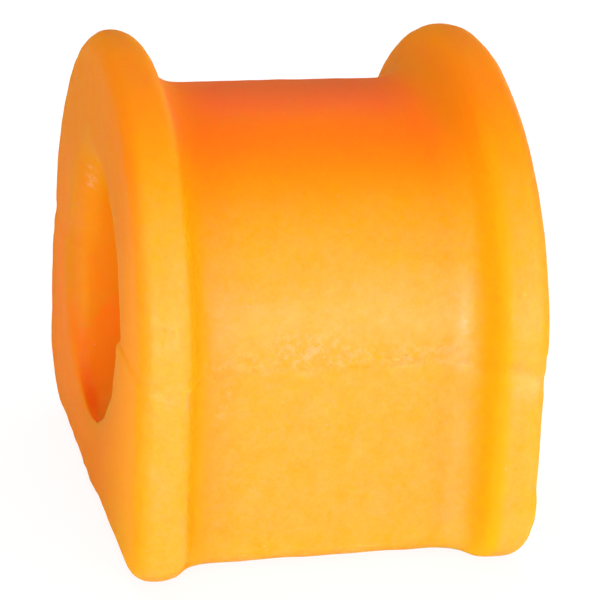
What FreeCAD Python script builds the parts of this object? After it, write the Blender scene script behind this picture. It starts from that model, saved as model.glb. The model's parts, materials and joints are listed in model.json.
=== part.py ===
import FreeCAD, Part
import math
import os

# Sway bar bushing, moulded in one piece: a half-round saddle on a flat base, with a flange at each end.
# Millimetres. The bar runs along X, the base lies on Z = 0, and the origin is at the centre of the base.

# Bore for the bar, with a conical lead-in at each mouth that is blended into the end face
bore_diameter = 24.0
lead_in_depth = 2.3
lead_in_width = 2.0
lead_in_blend_radius = 2.0

# Saddle that the bracket wraps
saddle_wall = 7.75
saddle_length = 18.8
saddle_corner_radius = 3.4
base_wall = 5.5

# Flanges that stop the bushing from creeping out of its bracket
flange_height = 4.75
flange_corner_radius = 6.0
rim_outer_radius = 1.9
rim_land = 0.6
rim_inner_radius = 2.1
root_radius = 3.3

# Each arc of a flange's profile is followed by this many straight bands, within 0.04 mm of the true arc
bands_per_arc = 5

bore_radius = bore_diameter / 2
bore_height = bore_radius + base_wall
mouth_radius = bore_radius + lead_in_width
saddle_radius = bore_radius + saddle_wall
flange_radius = saddle_radius + flange_height

# The rim's inner arc runs into the root's arc, leaning where the two are taller than the flange
arcs_height = rim_inner_radius + root_radius
flank_lean = math.asin(max(0.0, 1 - flange_height / arcs_height))
flank_width = arcs_height * math.cos(flank_lean)
flank_x = saddle_length / 2 + flank_width
end_x = flank_x + rim_land + rim_outer_radius


def section(x, radius, corner, base=0.0):
    """D-shaped wire across the bar: half-round top, upright sides, flat base with rounded corners."""

    def point(y, z):
        return FreeCAD.Vector(x, y, z)

    side = radius - corner
    corner_top = base + corner
    diagonal = corner * math.sqrt(0.5)
    curves = [
        Part.Arc(point(radius, bore_height), point(0, bore_height + radius), point(-radius, bore_height)),
        Part.LineSegment(point(-radius, bore_height), point(-radius, corner_top)),
        Part.Arc(
            point(-radius, corner_top), point(-side - diagonal, corner_top - diagonal), point(-side, base)
        ),
        Part.LineSegment(point(-side, base), point(side, base)),
        Part.Arc(point(side, base), point(side + diagonal, corner_top - diagonal), point(radius, corner_top)),
        Part.LineSegment(point(radius, corner_top), point(radius, bore_height)),
    ]
    return Part.Wire([curve.toShape() for curve in curves])


def arc_angles(turn):
    """Angles along an arc of the profile, one at each edge of a band."""
    return [turn * step / bands_per_arc for step in range(bands_per_arc + 1)]


def rim_section(angle):
    """Section on the rim's outer arc, drawn in all the way round, so the base edge is rounded as well."""
    inset = rim_outer_radius * (1 - math.sin(angle))
    x = end_x - rim_outer_radius * (1 - math.cos(angle))
    return section(x, flange_radius - inset, flange_corner_radius - inset, inset)


def flank_section(x, drop):
    """Section of the flange's inner side, which drops from the rim to the saddle and shares the flat base."""
    share = drop / flange_height
    corner = flange_corner_radius + share * (saddle_corner_radius - flange_corner_radius)
    return section(x, flange_radius - drop, corner)


def flange_sections():
    """Sections of the +X flange, from its end face over the rim and down the root to the saddle."""
    sections = [rim_section(angle) for angle in arc_angles(math.pi / 2)]
    rim_angles = arc_angles(math.pi / 2 - flank_lean)
    for angle in rim_angles:
        inset = rim_inner_radius * math.sin(angle)
        drop = rim_inner_radius * (1 - math.cos(angle))
        sections.append(flank_section(flank_x - inset, drop))
    arcs_meet = flange_height <= arcs_height
    root_angles = rim_angles[:-1] if arcs_meet else rim_angles
    for angle in reversed(root_angles):
        rise = root_radius * (1 - math.cos(angle))
        x = saddle_length / 2 + root_radius * math.sin(angle)
        sections.append(flank_section(x, flange_height - rise))
    return sections


def mirrored(shape):
    """The same shape at the -X end."""
    return shape.mirror(FreeCAD.Vector(0, 0, 0), FreeCAD.Vector(1, 0, 0))


def body():
    """Both flanges and the saddle between them, lofted in one run from end face to end face."""
    sections = flange_sections()
    other_end = [mirrored(wire) for wire in reversed(sections)]
    return Part.makeLoft(sections + other_end, True, True)


def bore():
    """Tool for the through bore and both lead-ins, turned about the bar's axis."""
    turn = math.atan2(lead_in_depth, lead_in_width)
    setback = lead_in_blend_radius * math.tan(turn / 2)

    def point(x, radius):
        return FreeCAD.Vector(x, 0, bore_height + radius)

    def blend_point(angle):
        x = end_x - lead_in_blend_radius * (1 - math.cos(angle))
        return point(x, mouth_radius + setback - lead_in_blend_radius * math.sin(angle))

    cone_start = point(end_x - lead_in_depth, bore_radius)
    curves = [
        Part.LineSegment(point(0, 0), point(0, bore_radius)),
        Part.LineSegment(point(0, bore_radius), cone_start),
        Part.LineSegment(cone_start, blend_point(turn)),
        Part.Arc(blend_point(turn), blend_point(turn / 2), blend_point(0)),
        Part.LineSegment(blend_point(0), point(end_x, 0)),
        Part.LineSegment(point(end_x, 0), point(0, 0)),
    ]
    profile = Part.Face(Part.Wire([curve.toShape() for curve in curves]))
    half = profile.revolve(point(0, 0), FreeCAD.Vector(1, 0, 0), 360)
    return half.fuse(mirrored(half)).removeSplitter()


os.makedirs("parts", exist_ok=True)
bushing = body().cut(bore())
bushing.exportStep("parts/bushing.step")
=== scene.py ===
import json
import math
import bmesh
import bpy
from mathutils import Euler, Matrix, Vector


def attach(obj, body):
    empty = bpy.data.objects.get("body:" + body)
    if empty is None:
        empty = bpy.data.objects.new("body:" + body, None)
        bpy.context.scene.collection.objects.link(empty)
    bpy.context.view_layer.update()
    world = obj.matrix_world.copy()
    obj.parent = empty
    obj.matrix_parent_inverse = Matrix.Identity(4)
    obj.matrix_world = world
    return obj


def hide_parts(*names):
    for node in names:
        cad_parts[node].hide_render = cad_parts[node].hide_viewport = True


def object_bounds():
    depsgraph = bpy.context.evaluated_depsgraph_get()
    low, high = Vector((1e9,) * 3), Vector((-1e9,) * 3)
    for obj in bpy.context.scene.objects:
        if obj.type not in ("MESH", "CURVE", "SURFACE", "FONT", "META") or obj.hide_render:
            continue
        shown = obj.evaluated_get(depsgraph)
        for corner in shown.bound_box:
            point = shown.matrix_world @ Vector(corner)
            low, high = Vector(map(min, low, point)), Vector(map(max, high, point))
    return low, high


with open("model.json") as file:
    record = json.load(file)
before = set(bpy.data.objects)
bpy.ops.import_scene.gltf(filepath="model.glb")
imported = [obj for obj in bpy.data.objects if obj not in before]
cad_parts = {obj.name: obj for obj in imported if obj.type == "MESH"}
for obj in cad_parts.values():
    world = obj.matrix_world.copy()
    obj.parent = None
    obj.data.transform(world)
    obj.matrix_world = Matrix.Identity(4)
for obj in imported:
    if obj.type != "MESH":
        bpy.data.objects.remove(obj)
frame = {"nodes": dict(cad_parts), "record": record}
cad_low, cad_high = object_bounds()


# Camera: stands in front of the bushing, a little to the left and above, as the photograph was taken.
# It looks just past the middle of the bore from close by, so the near end looks larger than the far one.
bore_axis_height = frame["record"]["mounts"][0]["pos_m"][2]
camera_turn = math.radians(-14.678)
camera_rise = math.radians(18.798)
camera_roll = math.radians(2.276)
camera_distance = 0.21017
camera_focus_px = 2323.8
photo_width_px = 600
sensor_width_mm = 36.0
aim_right_of_bore = 0.001756

level = Euler((math.pi / 2 - camera_rise, 0, camera_turn)).to_matrix()
aim = Vector((0, 0, bore_axis_height)) + level @ Vector((aim_right_of_bore, 0, 0))
standpoint = aim + level @ Vector((0, 0, camera_distance))
rolled = level @ Matrix.Rotation(camera_roll, 3, "Z")
lens = bpy.data.cameras.new("camera")
lens.sensor_width = sensor_width_mm
lens.lens = sensor_width_mm * camera_focus_px / photo_width_px
lens.clip_start = 0.01
lens.clip_end = 10
camera = bpy.data.objects.new("camera", lens)
camera.matrix_world = Matrix.Translation(standpoint) @ rolled.to_4x4()
bpy.context.collection.objects.link(camera)
bpy.context.scene.camera = camera


# Bushing: one moulding of orange polyurethane, cast in a two-part mould that parts near the height of the
# bore. The halves of the mould sat a little out of line, so the skin has a step all round, and the thin
# flash there was trimmed by hand, which left ridges, pits and cracks along the step.
mm = 0.001
same_point = 1e-6
skin_cell = 0.42 * mm
skin_rounding_passes = 4
parting_height = 18.15 * mm
parting_lean = 0.01
parting_band = 0.9 * mm
step_half_height = 0.10 * mm
upper_half_shift = 0.12 * mm
lower_half_shift = -0.10 * mm

bpy.ops.object.select_all(action="DESELECT")
moulding = frame["nodes"]["bushing"]
bushing = moulding.copy()
bushing.data = moulding.data.copy()
bushing.name = "bushing_moulding"
bpy.context.collection.objects.link(bushing)
bushing.select_set(True)
bpy.context.view_layer.objects.active = bushing
bushing.data.materials.clear()
bpy.ops.object.mode_set(mode="EDIT")
bpy.ops.mesh.select_all(action="SELECT")
bpy.ops.mesh.remove_doubles(threshold=same_point)
bpy.ops.object.mode_set(mode="OBJECT")

# Lip at the bottom of the left mouth: the lower half of the mould left it narrower there. It is the lower
# part of a disc, hollowed by an opening that changes from the mouth's oval to the bore's circle.
lip_depth = 3.0 * mm
lip_slope_depth = 1.35 * mm
lip_radius = 16.6 * mm
lip_top = 18.1 * mm
opening_excess = 1.0 * mm
opening_shift = 0.49 * mm
mouth_half_width = 14.6 * mm
mouth_half_height = 13.05 * mm
mouth_aside = 1.6 * mm
mouth_height = 20.6 * mm
bore_radius = frame["record"]["mounts"][0]["dims"]["r_mm"] * mm
slope_back = cad_low[0] + lip_slope_depth
slope_front = cad_low[0] + 0.1 * mm


def cylinder_about_bar(radius, depth, middle_x):
    """Adds a cylinder about the bar's axis, open in edit mode with all of it selected."""
    bpy.ops.mesh.primitive_cylinder_add(
        vertices=128,
        radius=radius,
        depth=depth,
        rotation=(0, math.pi / 2, 0),
        location=(middle_x, 0, bore_axis_height),
    )
    cylinder = bpy.context.object
    bpy.ops.object.transform_apply(location=True, rotation=True, scale=True)
    bpy.ops.object.mode_set(mode="EDIT")
    bpy.ops.mesh.select_all(action="SELECT")
    return cylinder


bpy.ops.object.select_all(action="DESELECT")
lip = cylinder_about_bar(lip_radius, lip_depth, cad_low[0] + 0.5 * lip_depth)
bpy.ops.mesh.bisect(plane_co=(0, 0, lip_top), plane_no=(0, 0, 1), use_fill=True, clear_outer=True)
bpy.ops.object.mode_set(mode="OBJECT")
opening = cylinder_about_bar(
    bore_radius, lip_depth + opening_excess, cad_low[0] + 0.5 * lip_depth + opening_shift
)
bpy.ops.mesh.bisect(plane_co=(slope_back, 0, 0), plane_no=(1, 0, 0))
bpy.ops.mesh.select_all(action="DESELECT")
opening_mesh = bmesh.from_edit_mesh(opening.data)
for point in opening_mesh.verts:
    point.select = point.co.x < slope_front
opening_mesh.select_flush(True)
bmesh.update_edit_mesh(opening.data)
bpy.ops.transform.resize(
    value=(1, mouth_half_width / bore_radius, mouth_half_height / bore_radius),
    center_override=(cad_low[0], 0, bore_axis_height),
)
bpy.ops.transform.translate(value=(0, mouth_aside, mouth_height - bore_axis_height))
bpy.ops.object.mode_set(mode="OBJECT")
bpy.ops.object.select_all(action="DESELECT")
lip.select_set(True)
bpy.context.view_layer.objects.active = lip
hollow = lip.modifiers.new("mouth", "BOOLEAN")
hollow.operation = "DIFFERENCE"
hollow.object = opening
bpy.ops.object.modifier_apply(modifier=hollow.name)
bpy.data.objects.remove(opening)
bushing.select_set(True)
bpy.context.view_layer.objects.active = bushing
bpy.ops.object.join()

# One even skin over the moulding and its lip, a little rounded
remesh = bushing.modifiers.new("even_skin", "REMESH")
remesh.mode = "VOXEL"
remesh.voxel_size = skin_cell
bpy.ops.object.modifier_apply(modifier=remesh.name)
rounding = bushing.modifiers.new("rounded_skin", "SMOOTH")
rounding.factor = 0.5
rounding.iterations = skin_rounding_passes
bpy.ops.object.modifier_apply(modifier=rounding.name)


def above_parting(place):
    """Height of a place above the line where the halves of the mould met."""
    return place.z - parting_height - parting_lean * (place.y - cad_low[1])


def near_parting(place, band, lift=0):
    """Whether a place is within band of the parting line, or of a height lift above it."""
    return abs(above_parting(place) - lift) < band


def select_skin(inside):
    """Selects the points of the skin for which inside(place) is true, in edit mode."""
    bpy.ops.mesh.select_all(action="DESELECT")
    mesh = bmesh.from_edit_mesh(bushing.data)
    for point in mesh.verts:
        point.select = inside(point.co)
    mesh.select_flush(True)
    bmesh.update_edit_mesh(bushing.data)


bpy.ops.object.mode_set(mode="EDIT")
bpy.ops.mesh.select_mode(type="VERT")
select_skin(lambda place: near_parting(place, parting_band))
bpy.ops.mesh.subdivide(number_cuts=1)
for edge_height in (-step_half_height, 0, step_half_height):
    bpy.ops.mesh.select_all(action="SELECT")
    bpy.ops.mesh.bisect(
        plane_co=(0, cad_low[1], parting_height + edge_height),
        plane_no=(0, -parting_lean, 1),
        threshold=same_point,
    )
select_skin(lambda place: above_parting(place) < -0.5 * step_half_height)
bpy.ops.transform.translate(value=(lower_half_shift, 0, 0))
select_skin(lambda place: above_parting(place) > 0.5 * step_half_height)
bpy.ops.transform.translate(value=(upper_half_shift, 0, 0))

# The crest of the step, where what is left of the flash will stand
crest = bushing.vertex_groups.new(name="flash")
select_skin(lambda place: near_parting(place, 0.3 * step_half_height))
bpy.context.scene.tool_settings.vertex_group_weight = 1.0
bpy.ops.object.vertex_group_assign()


def drag_skin(push, reach):
    """Moves the selected skin by push, and the skin around it less and less, as far as reach."""
    bpy.ops.transform.translate(
        value=push,
        use_proportional_edit=True,
        proportional_edit_falloff="SMOOTH",
        proportional_size=reach,
    )


def smooth_skin(passes, inside):
    """Smooths the points of the skin for which inside(place) is true."""
    select_skin(inside)
    bpy.ops.mesh.vertices_smooth(factor=0.5, repeat=passes)


def from_bar_axis(place):
    """Distance of a place from the axis of the bar."""
    return math.hypot(place.y, place.z - bore_axis_height)


# The step climbs on the left end. It is smoothed away on that end face and in the bore, softened on the
# right flange, and less so on the left one. The lip in the left mouth is rounded as well.
left_end_lift = 0.75 * mm
lift_reach = 4.5 * mm
select_skin(lambda place: place.x < -16.4 * mm and near_parting(place, 0.6 * mm))
drag_skin((0, 0, left_end_lift), lift_reach)
smooth_skin(
    40,
    lambda place: place.y > -14.5 * mm
    and near_parting(place, 1.7 * mm, 0.6 * left_end_lift)
    and (place.x < -16.6 * mm or from_bar_axis(place) < 14.6 * mm),
)
smooth_skin(
    16,
    lambda place: place.x < -16.0 * mm
    and near_parting(place, 1.2 * mm, 0.5 * left_end_lift)
    and place.y < -16 * mm,
)
smooth_skin(
    12,
    lambda place: place.x < -13.8 * mm
    and place.y > -1 * mm
    and place.z < 18.9 * mm
    and from_bar_axis(place) < 16.5 * mm,
)
smooth_skin(
    5,
    lambda place: place.x < -15.2 * mm
    and place.y < -1 * mm
    and place.z < 17 * mm
    and from_bar_axis(place) < 15.5 * mm,
)
smooth_skin(30, lambda place: place.x > 11.2 * mm and near_parting(place, 1.6 * mm))
smooth_skin(3, lambda place: -16.0 * mm < place.x < -11.2 * mm and near_parting(place, 0.8 * mm))


def press(start, end, reach, push, width):
    """Moves the skin within width of the run from start to end by push, fading out over reach."""
    run_start = Vector(start) * mm
    run = Vector(end) * mm - run_start

    def on_run(place):
        along = (place - run_start).dot(run) / run.length_squared
        nearest = run_start + min(1, max(0, along)) * run
        return (place - nearest).length < width * mm

    select_skin(on_run)
    drag_skin(Vector(push) * mm, reach * mm)


# Faults of the moulding, each with the start and end of its run, reach, push and width in millimetres.
# First come the cracks and ridges along the step on the front of the saddle, from left to right.
step_faults = [
    ((-11.7, -20.7, 18.3), (-10.2, -19.9, 18.4), 0.5, (0, 0.05, 0), 0.3),
    ((-8.9, -19.74, 18.0), (-8.7, -19.74, 18.0), 0.6, (0, 0.05, 0), 0.3),
    ((-7.6, -19.74, 18.3), (-5.6, -19.74, 18.2), 0.4, (0, 0.04, 0), 0.2),
    ((-2.9, -19.74, 18.1), (-1.8, -19.74, 18.0), 0.4, (0, 0.08, 0), 0.2),
    ((0.6, -19.74, 17.9), (2.8, -19.74, 18.0), 0.4, (0, 0.03, 0), 0.2),
    ((4.6, -19.74, 18.9), (7.5, -19.74, 18.7), 0.35, (0, 0.06, 0), 0.15),
    ((5.0, -19.74, 18.35), (7.3, -19.74, 18.4), 0.35, (0, 0.06, 0), 0.15),
    ((5.0, -19.74, 18.62), (7.3, -19.74, 18.58), 0.25, (0, -0.06, 0), 0.12),
]
# Cracks and lumps on the rims, near where the step crosses them
rim_faults = [
    ((-16.7, -23.2, 23.9), (-14.6, -23.9, 23.4), 0.5, (0.03, 0.10, 0), 0.2),
    ((-17.1, -22.0, 23.4), (-16.3, -23.6, 22.9), 0.5, (0.05, 0.05, 0), 0.2),
    ((-16.2, -24.35, 18.0), (-16.0, -24.35, 17.95), 0.7, (-0.03, -0.14, 0), 0.3),
    ((-15.6, -24.5, 16.95), (-15.5, -24.5, 16.95), 0.8, (0, -0.14, 0), 0.3),
    ((-13.7, -24.2, 18.2), (-13.6, -24.1, 17.5), 0.7, (0.05, -0.14, 0), 0.3),
    ((14.7, -24.5, 17.6), (15.2, -24.5, 17.3), 1.3, (0, -0.14, 0), 0.3),
    ((17.1, -23.5, 18.4), (17.1, -23.5, 19.2), 1.8, (-0.12, 0, 0), 0.3),
]
# Places where the moulding is fuller or leaner than drawn: the left end, both rims and the foot of each
full_and_lean_places = [
    ((-17.2, -13.9, 19.5), (-17.2, -14.1, 23.0), 2.5, (-0.05, 0.25, 0), 0.8),
    ((-16.6, 9.0, 39.0), (-16.6, 18.0, 33.0), 7.0, (0.03, -0.14, -0.23), 1.2),
    ((13.6, -4.0, 41.0), (13.6, 4.0, 41.0), 4.0, (0, 0, 0.13), 0.8),
    ((-15.9, -3.0, 41.8), (-15.9, 8.0, 41.3), 3.0, (0, 0, 0.15), 0.8),
    ((-13.9, -7.0, 40.7), (-13.9, 3.0, 41.5), 2.2, (0, 0, -0.19), 0.8),
    ((-17.0, 23.6, 8.0), (-17.0, 23.8, 13.0), 4.0, (-0.17, 0.05, 0), 0.8),
    ((-17.26, 19.0, 2.6), (-17.26, 12.0, 2.0), 2.5, (0.06, -0.06, 0.1), 0.6),
    ((16.6, -24.0, 6.5), (16.7, -24.0, 5.0), 1.2, (0.16, 0, 0), 0.5),
    ((-12.6, -21.5, 1.2), (-11.8, -21.0, 1.0), 1.5, (0, 0.1, 0.28), 0.6),
]
for fault in step_faults + rim_faults + full_and_lean_places:
    press(*fault)
bpy.ops.object.mode_set(mode="OBJECT")


def roughen(name, wave_length, detail, strength, group=""):
    """Moves the skin in and out by soft noise, in all places or only at the points of a vertex group."""
    clouds = bpy.data.textures.new(name, "CLOUDS")
    clouds.noise_scale = wave_length
    clouds.noise_depth = detail
    waves = bushing.modifiers.new(name, "DISPLACE")
    waves.texture = clouds
    waves.texture_coords = "OBJECT"
    waves.texture_coords_object = noise_origin
    waves.vertex_group = group
    waves.strength = strength
    waves.mid_level = 0.45
    bpy.ops.object.modifier_apply(modifier=waves.name)


# What is left of the flash is uneven, and trimmed away in places. The whole skin is a little uneven too,
# as hand-poured urethane is. The noise for both is measured from a point outside the bushing.
flash_length = 0.9 * mm
flash_height = 0.06 * mm
skin_wave_length = 4.0 * mm
skin_unevenness = 0.16 * mm
bpy.ops.object.empty_add(location=cad_low * 2)
noise_origin = bpy.context.object
bpy.context.view_layer.objects.active = bushing
roughen("flash", flash_length, 3, flash_height, crest.name)
roughen("uneven_skin", skin_wave_length, 1, skin_unevenness)
bpy.data.objects.remove(noise_origin)
bushing.select_set(True)
bpy.ops.object.shade_smooth()


class Field:
    """A value that varies over the skin. Sums with it add Math nodes to its material."""

    def __init__(self, tree, output):
        self.tree = tree
        self.output = output

    def node(self, kind, settings, sockets, output=0):
        """Adds any other node: its settings come first, then the values or links of its sockets."""
        made = self.tree.nodes.new("ShaderNode" + kind)
        for name, setting in settings.items():
            setattr(made, name, setting)
        for name, value in sockets.items():
            if isinstance(value, Field):
                value.into(made.inputs[name])
            else:
                made.inputs[name].default_value = value
        return Field(self.tree, made.outputs[output])

    def into(self, socket):
        """Feeds this value into a socket of a node."""
        self.tree.links.new(self.output, socket)

    def maths(self, operation, *values):
        """Adds a Math node for an operation on values or fields."""
        return self.node("Math", {"operation": operation}, dict(enumerate(values)))

    def __add__(self, other):
        return self.maths("ADD", self, other)

    def __radd__(self, other):
        return self.maths("ADD", other, self)

    def __sub__(self, other):
        return self.maths("SUBTRACT", self, other)

    def __rsub__(self, other):
        return self.maths("SUBTRACT", other, self)

    def __mul__(self, other):
        return self.maths("MULTIPLY", self, other)

    def __rmul__(self, other):
        return self.maths("MULTIPLY", other, self)

    def __truediv__(self, other):
        return self.maths("DIVIDE", self, other)

    def at_least(self, least):
        return self.maths("MAXIMUM", self, least)

    def size(self):
        return self.maths("ABSOLUTE", self)

    def root(self):
        return self.maths("SQRT", self)

    def sine(self):
        return self.maths("SINE", self)

    def clamped(self):
        """The same value, held between 0 and 1."""
        return self.node("Clamp", {}, {"Value": self})

    def rise(self, start, end):
        """0 up to start, 1 from end on, and a smooth rise between."""
        settings = {"interpolation_type": "SMOOTHSTEP"}
        return self.node("MapRange", settings, {"Value": self, "From Min": start, "From Max": end})


# Orange polyurethane, pigmented all through: light enters it and comes out redder, so what faces away
# from the light glows deep orange. The crown, the ends and the bore are painted deeper orange than the
# sides as painted shade, where the front lamps reach less. Places are in millimetres. facing_side is 0 on
# the top of the crown, and 1 from the height of the bore's axis down.
polyurethane = bpy.data.materials.new("orange_polyurethane")
polyurethane.use_nodes = True
shader = polyurethane.node_tree.nodes["Principled BSDF"]
place = Field(polyurethane.node_tree, None).node("TexCoord", {}, {}, "Object")
place = place.node("VectorMath", {"operation": "SCALE"}, {0: place, "Scale": 1 / mm})
place_x, place_y, place_z = [place.node("SeparateXYZ", {}, {0: place}, axis) for axis in range(3)]
to_left = -1 * place_x
from_middle = place_x.size()
above_axis = place_z - bore_axis_height / mm
from_axis = (place_y * place_y + above_axis * above_axis).root()
never_zero = 0.01
around_crown = above_axis.at_least(0)
aside = place_y.size() + (-1 * above_axis).at_least(0)
facing_side = aside / (aside * aside + around_crown * around_crown + never_zero).root()


def mixed(share, first, second):
    """A colour between two others. Mix has its factor at 0, colours at 6 and 7, and the result at 2."""
    return share.node("Mix", {"data_type": "RGBA"}, {0: share, 6: first, 7: second}, 2)


def noise(scale, detail=2.0, roughness=0.5):
    """Soft noise around 0.5, with scale waves to a millimetre."""
    sockets = {"Vector": place, "Scale": scale, "Detail": detail, "Roughness": roughness}
    return place.node("TexNoise", {}, sockets)


def mark(start, end, width):
    """1 along a line from start to end, fading to 0 at width from it."""
    run = Vector(end) - Vector(start)
    from_start = place.node("VectorMath", {"operation": "SUBTRACT"}, {0: place, 1: start})
    along = place.node("VectorMath", {"operation": "DOT_PRODUCT"}, {0: from_start, 1: run}, "Value")
    share = (along / run.length_squared).clamped()
    nearest = place.node("VectorMath", {"operation": "SCALE"}, {0: run, "Scale": share})
    distance = place.node("VectorMath", {"operation": "DISTANCE"}, {0: from_start, 1: nearest}, "Value")
    return distance.rise(width, 0)


# Zones of the moulding, 1 inside and 0 outside
crown = 1 - facing_side.rise(0.40, 0.91)
crown_top = facing_side.rise(0.41, 0.17) * (1 - from_middle.rise(6.5, 11.5))
rim = place_x.rise(9.5, 12.5) + to_left.rise(12.2, 13.2)
before_left_rim = 1 - to_left.rise(12.8, 13.4)
before_right_rim = 1 - place_x.rise(13.4, 14.4)
left_root = to_left.rise(11.4, 12.4) * before_left_rim
right_root = place_x.rise(11.4, 12.6) * before_right_rim
end_face = from_middle.rise(15.8, 17.26)
# Painted light: the near part of each end face keeps the paler side colour
painted_light_near_edge = (-1 * place_y - 0.3 * place_z).rise(2, 22)
mouth = 1 - from_axis.rise(14.6, 15.8)
mouth_ring = (1 - from_axis.rise(14.0, 17.0)) * place_y.rise(-2, 4) * place_z.rise(8, 18)
in_bore = mouth * (1 - from_middle.rise(15.6, 17.1))
# Painted shadow deep in the bore and over the lower part of the left mouth, with a jagged edge
bore_shadow = 1 - (place_z - place_x + 2.0 * noise(1.2, 3.0)).rise(28.3, 29.1)
bore_bottom = place_z.rise(7.5, 5.5) * place_x.rise(-10, -14)

side_colour = (1.0, 0.325, 0.001, 1)
left_root_shade_colour = (1.0, 0.30, 0.001, 1)
right_root_light_colour = (1.0, 0.37, 0.001, 1)
crown_shade_colour = (0.88, 0.17, 0.001, 1)
crown_top_shade_and_sheen_colour = (1.0, 0.135, 0.018, 1)
rim_crown_shade_colour = (0.72, 0.217, 0.002, 1)
end_top_shade_colour = (0.74, 0.195, 0.002, 1)
end_foot_shade_colour = (0.95, 0.18, 0.002, 1)
mouth_ring_shade_colour = (0.71, 0.22, 0.002, 1)
bore_shade_colour = (0.80, 0.28, 0.002, 1)
bore_shadow_colour = (0.86, 0.24, 0.003, 1)
bore_bottom_colour = (1.0, 0.45, 0.03, 1)

# Painted shade on the left root, and painted bounced light on the right root
colour = mixed(left_root, side_colour, left_root_shade_colour)
colour = mixed(place_x.rise(9.2, 11.5) * before_right_rim, colour, right_root_light_colour)
# Painted shade on the crown and on the crowns of the rims, with a little painted sheen on the crown's top
crown_shade_mix = mixed(crown_top, crown_shade_colour, crown_top_shade_and_sheen_colour)
colour = mixed(crown, colour, mixed(rim, crown_shade_mix, rim_crown_shade_colour))
# Painted shade on the end faces, less deep at their foot, and on the ring round the mouth
end_shade_mix = mixed(place_z.rise(8, 34), end_foot_shade_colour, end_top_shade_colour)
end_shade_mix = mixed(mouth_ring, end_shade_mix, mouth_ring_shade_colour)
end_shade_share = (end_face + mouth - end_face * mouth) * (1 - painted_light_near_edge)
colour = mixed(end_shade_share, colour, end_shade_mix)
# Painted shade in the bore, darker in its painted shadow, and paler at its bottom by the left mouth
bore_shadow_mix = mixed(bore_bottom, bore_shadow_colour, bore_bottom_colour)
colour = mixed(in_bore, colour, mixed(bore_shadow, bore_shade_colour, bore_shadow_mix))

# Pale patches along the step where the flash was trimmed, partly painted highlight; painted highlight
# streaks down the roots and on the right rim at the step; and a scuff in the left mouth
mottle = noise(0.4, 5.0, 1.0)
patchy = noise(1.6, 3.0, 0.7).rise(0.42, 0.62)
# Partly trimmed flash along the step, partly painted highlight on the step and the left rim
trimmed_and_highlit = (
    mark((-4.0, -19.7, 20.0), (-0.5, -19.7, 19.8), 2.2)
    + 0.7 * mark((-11.0, -19.7, 19.0), (10.0, -19.7, 19.0), 1.5)
    + 0.6 * mark((-9.0, -19.7, 17.2), (-9.8, -19.7, 14.6), 0.9)
    + 0.8 * mark((-16.2, -24.3, 17.9), (-13.6, -24.1, 17.7), 1.0)
)
# Painted highlight on the right rim where the step crosses it
rim_seam_highlight = mark((14.6, -24.4, 17.5), (15.6, -24.4, 17.3), 1.5)
# Painted highlight streaks down the roots, where the front left lamp glints
highlight_streaks = (
    0.5 * mark((10.7, -20.2, 18.2), (10.6, -19.0, 26.0), 1.3)
    + 1.1 * mark((10.8, -20.0, 21.0), (10.7, -19.4, 24.0), 0.6) * patchy
    + 0.35 * mark((10.8, -20.2, 2.0), (10.8, -20.2, 18.0), 1.4)
    + 0.3 * mark((14.1, -24.0, 3.0), (14.1, -24.0, 17.0), 0.8)
)
scuff = mark((-16.1, 7.6, 28.0), (-15.9, 9.6, 26.0), 1.0)

# Hair cracks and fine ridges along the step and on the rims
crack_width = 0.16
crack_lines = [
    ((-10.3, -19.87, 17.98), (-8.5, -19.74, 18.0)),
    ((-7.1, -19.73, 18.25), (-5.8, -19.73, 18.22)),
    ((-2.74, -19.73, 18.17), (-1.7, -19.73, 18.05)),
    ((1.2, -19.73, 18.13), (2.7, -19.73, 18.11)),
    ((4.3, -19.69, 18.98), (7.0, -19.69, 18.93)),
    ((4.7, -19.73, 18.13), (7.15, -19.73, 18.33)),
    ((-16.7, -23.13, 23.64), (-14.6, -23.71, 23.57)),
]
cracks = sum(mark(start, end, crack_width) for start, end in crack_lines)
cracks = cracks * noise(1.1).rise(0.35, 0.6)
ridge_width = 0.2
ridge_lines = [
    ((-13.26, -23.74, 19.8), (-13.5, -24.0, 17.6)),
    ((13.4, -24.0, 18.8), (15.9, -24.4, 18.2)),
    ((4.4, -19.7, 18.75), (7.2, -19.7, 18.65)),
]
ridges = sum(mark(start, end, ridge_width) for start, end in ridge_lines)

# Specks in about half of the cells of a grid, 0.55 cells to a millimetre
speck_grid = {"Vector": place, "Scale": 0.55}
from_speck = place.node("TexVoronoi", {}, speck_grid, "Distance")
cell_colour = place.node("TexVoronoi", {}, speck_grid, "Color")
cell_red = place.node("SeparateColor", {}, {0: cell_colour})
specks = from_speck.rise(0.07, 0.03) * cell_red.rise(0.45, 0.55)

# A thin pale film mottles the sides, and lies on the patches, streaks, scuff, ridges and specks. On the
# streaks and the right rim's patch the film is painted highlight, on the patches along the step partly so.
# The crown, the end faces, the bore and the roots are nearly free of the mottle.
film_colour = (1.0, 0.58, 0.45, 1)
mottled_film = 0.42
least_mottle = 0.36
mottle_on_crown = 0.04
wiped_share = 0.85
trimmed_and_highlit_film = 0.11
streak_highlight_film = 0.14
scuff_film = 0.22
rim_seam_highlight_film = 0.13
ridge_film = 0.10
speck_film = 0.3
dusty = mottle_on_crown + (1 - mottle_on_crown) * facing_side.rise(0.62, 0.95)
dusty = dusty * (1 - wiped_share * end_face) * (1 - wiped_share * in_bore)
clean_roots = (1 - 0.9 * right_root) * (1 - to_left.rise(9.8, 12.0) * before_left_rim)
film = mottled_film * (mottle - least_mottle) * dusty * clean_roots
film = film + trimmed_and_highlit_film * trimmed_and_highlit * patchy + streak_highlight_film * highlight_streaks
film = film + scuff_film * scuff * patchy + rim_seam_highlight_film * rim_seam_highlight
film = film + ridge_film * ridges * patchy + speck_film * specks * (1 - crown)
colour = mixed(film.clamped(), colour, film_colour)
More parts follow.
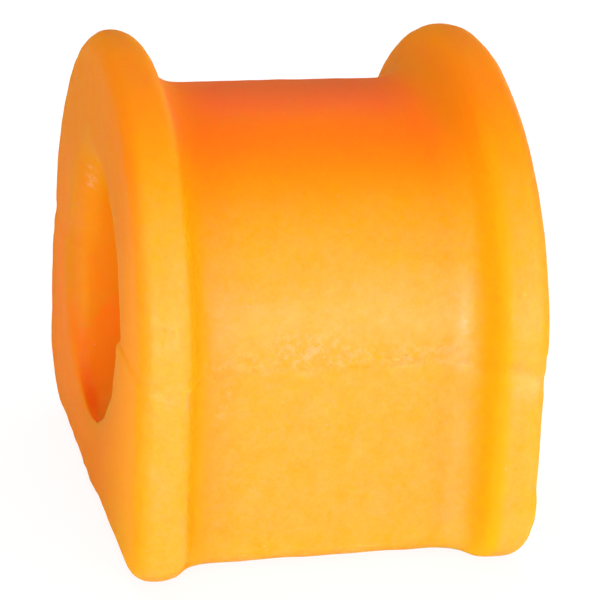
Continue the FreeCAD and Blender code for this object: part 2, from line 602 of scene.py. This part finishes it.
# Painted shade in the cracks, a deeper and darker orange
crack_shade_colour = (0.9, 0.25, 0.0, 1)
crack_shade_share = 0.3
colour = mixed(crack_shade_share * cracks, colour, crack_shade_colour)
colour.into(shader.inputs["Base Color"])

# The sides and the streaks have a soft gloss over the matt skin.
side_gloss = 0.35
streak_gloss = 0.3
glossy_sides = facing_side.rise(0.72, 0.98) * (1 - end_face) * (1 - in_bore) * (1 - 0.6 * right_root)
gloss = side_gloss * glossy_sides + streak_gloss * highlight_streaks
gloss.clamped().into(shader.inputs["Coat Weight"])
roughness = 0.45 + 0.3 * mottle
roughness.into(shader.inputs["Roughness"])
shader.inputs["Coat Roughness"].default_value = 0.38
shader.inputs["Specular IOR Level"].default_value = 0.05

# Fine grain of the mould's surface, with rows of small dots on the top of the left rim. The factor of
# each mark is its height, or its depth, as a share of the mottle's.
grain_depth = 0.06 * mm
dot_waves = 19
dots = (dot_waves * place_x).sine() * (dot_waves * place_y).sine()
dots = dots * mark((-15.4, -2.0, 41.6), (-15.4, -8.0, 40.6), 1.8)
height = mottle + 0.6 * trimmed_and_highlit * patchy - 1.2 * cracks + 0.8 * ridges + specks + 0.2 * dots
grain = height.node("Bump", {}, {"Strength": 1.0, "Distance": grain_depth, "Height": height})
grain.into(shader.inputs["Normal"])

# Light reaches 14 mm into the polyurethane in red, and far less in green and blue.
shader.inputs["Subsurface Weight"].default_value = 1.0
shader.inputs["Subsurface Radius"].default_value = (1.0, 0.2, 0.04)
shader.inputs["Subsurface Scale"].default_value = 14 * mm
bushing.data.materials.append(polyurethane)
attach(bushing, "root")
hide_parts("bushing")


# Floor and light: a plain pale table that shows white, and soft lamps all round, the strong ones in front.
# The skin dips a little below the plane of the base, so the floor lies that much lower.
floor_height = -0.08 * mm
floor_width = 6
floor_glow = 1.15
floor_glow_share = 0.75
bpy.ops.mesh.primitive_plane_add(size=floor_width, location=(0, 0, floor_height))
floor = bpy.context.object
floor.name = "floor"
paper = bpy.data.materials.new("pale_paper")
paper.use_nodes = True
tree = paper.node_tree
paper_shader = tree.nodes["Principled BSDF"]
paper_shader.inputs["Base Color"].default_value = (0.9, 0.9, 0.9, 1)
paper_shader.inputs["Roughness"].default_value = 0.9
matt = Field(tree, paper_shader.outputs[0])
seen = matt.node("LightPath", {}, {}, "Is Camera Ray")
glow = matt.node("Emission", {}, {"Strength": floor_glow})
shown = matt.node("MixShader", {}, {0: floor_glow_share * seen, 1: matt, 2: glow})
shown.into(tree.nodes["Material Output"].inputs["Surface"])
floor.data.materials.append(paper)

# The room's own light is dim, and the camera sees the room as plain white.
world = bpy.data.worlds.new("studio")
bpy.context.scene.world = world
world.use_nodes = True
tree = world.node_tree
room_light = tree.nodes["Background"]
room_light.inputs["Color"].default_value = (1, 1, 1, 1)
room_light.inputs["Strength"].default_value = 0.36
room = Field(tree, room_light.outputs[0])
seen = room.node("LightPath", {}, {}, "Is Camera Ray")
white = room.node("Background", {}, {"Color": (1, 1, 1, 1), "Strength": 1.0})
shown = room.node("MixShader", {}, {0: seen, 1: room, 2: white})
shown.into(tree.nodes["World Output"].inputs["Surface"])

# Each lamp faces the bore. It has its name, turn and rise in degrees, height in metres and power in watts.
lamp_distance = 0.7
lamp_width = 0.5
lamps = [
    ("front_right_lamp", 15, 8, 0.2, 2.8),
    ("front_left_lamp", -38, 6, 0.14, 2.95),
    ("right_lamp", 50, 8, 0.14, 1.3),
    ("left_lamp", -85, 4, 0.14, 0.2),
    ("top_lamp", 0, 88, 0.4, 0.55),
    ("back_lamp", 180, 55, 0.4, 0.9),
    ("low_back_lamp", 122, 10, 0.14, 1.0),
]
for name, turn, rise, lamp_height, power in lamps:
    light = bpy.data.lights.new(name, "AREA")
    light.shape = "RECTANGLE"
    light.size = lamp_width
    light.size_y = lamp_height
    light.energy = power
    lamp = bpy.data.objects.new(name, light)
    facing = Euler((math.pi / 2 - math.radians(rise), 0, math.radians(turn))).to_matrix()
    lamp_place = Vector((0, 0, bore_axis_height)) + facing @ Vector((0, 0, lamp_distance))
    lamp.matrix_world = Matrix.Translation(lamp_place) @ facing.to_4x4()
    bpy.context.collection.objects.link(lamp)

bpy.context.scene.view_settings.view_transform = "Standard"
